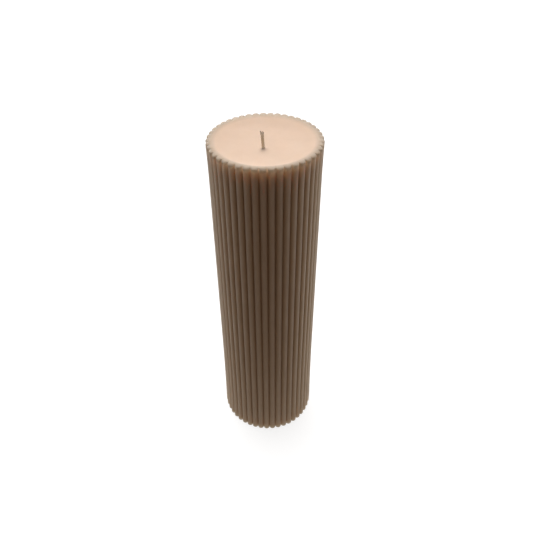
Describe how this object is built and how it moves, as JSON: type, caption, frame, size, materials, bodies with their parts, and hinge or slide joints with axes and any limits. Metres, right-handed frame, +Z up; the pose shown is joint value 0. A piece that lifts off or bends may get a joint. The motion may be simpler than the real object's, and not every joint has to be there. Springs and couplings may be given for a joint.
{
  "type": "pillar candle",
  "caption": "Tall cylindrical pillar candle with round vertical ribs, a dished top, a plaited cotton wick and a metal wick clip set in its flat base.",
  "frame": {"origin": "centre of the flat base, which stands on the surface at z = 0", "axes": "+Z up along the candle's axis, from the base to the wick's tip; -Y is the side seen from the front"},
  "size_m": [0.0579, 0.058, 0.2064],
  "materials": {
    "wax": "smooth poured wax, cream beige, translucent at edges, satin",
    "wick_cotton": "wax-primed unbleached cotton yarn, plaited",
    "tinplate": "thin bright tin-plated steel sheet, pressed"
  },
  "bodies": {
    "root": {"wax_body": "wax", "wick_strand_1": "wick_cotton", "wick_strand_2": "wick_cotton", "wick_strand_3": "wick_cotton", "wick_clip": "tinplate"}
  },
  "joints": []
}
